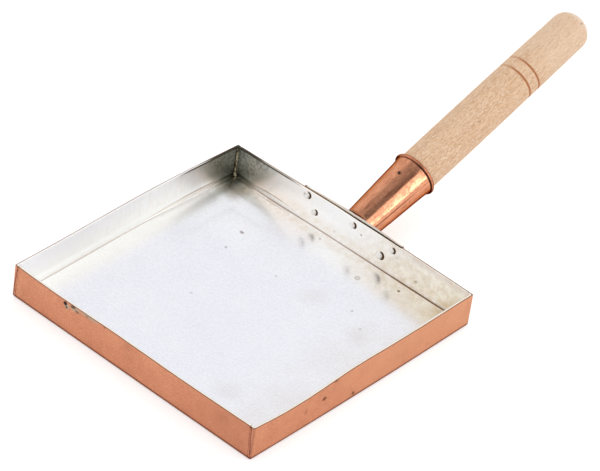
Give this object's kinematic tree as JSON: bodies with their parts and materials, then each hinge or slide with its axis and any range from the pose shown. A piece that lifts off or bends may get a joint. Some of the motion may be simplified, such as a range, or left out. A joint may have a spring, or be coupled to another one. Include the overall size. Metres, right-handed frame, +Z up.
{
  "type": "square omelette pan",
  "caption": "Shallow square copper omelette pan with a tinned inside, a riveted conical copper socket and a turned wooden handle.",
  "frame": {"origin": "centre of the tray's flat underside", "axes": "+Z up out of the tray, +Y along the handle, +X to the right seen from the front"},
  "size_m": [0.2141, 0.4363, 0.0999],
  "materials": {
    "copper": "satin copper sheet",
    "polished_copper": "polished copper",
    "tin": "wiped tin, satin",
    "solder": "lumpy tin solder",
    "tinned_rivet": "copper rivet with a tinned head",
    "braze": "brazing brass",
    "wood": "plain turned wood, unvarnished",
    "nail_steel": "dark steel"
  },
  "bodies": {
    "root": {"pan_body": "copper", "tin_lining": "tin", "corner_solder_front_left": "solder", "corner_solder_front_right": "solder", "corner_solder_rear_left": "solder", "corner_solder_rear_right": "solder", "handle_plate": "copper", "rivet_outer_left": "tinned_rivet", "rivet_inner_left": "tinned_rivet", "rivet_centre": "tinned_rivet", "rivet_inner_right": "tinned_rivet", "rivet_outer_right": "tinned_rivet", "handle_socket": "polished_copper", "socket_braze": "braze", "wood_handle": "wood", "handle_nail": "nail_steel"}
  },
  "joints": []
}
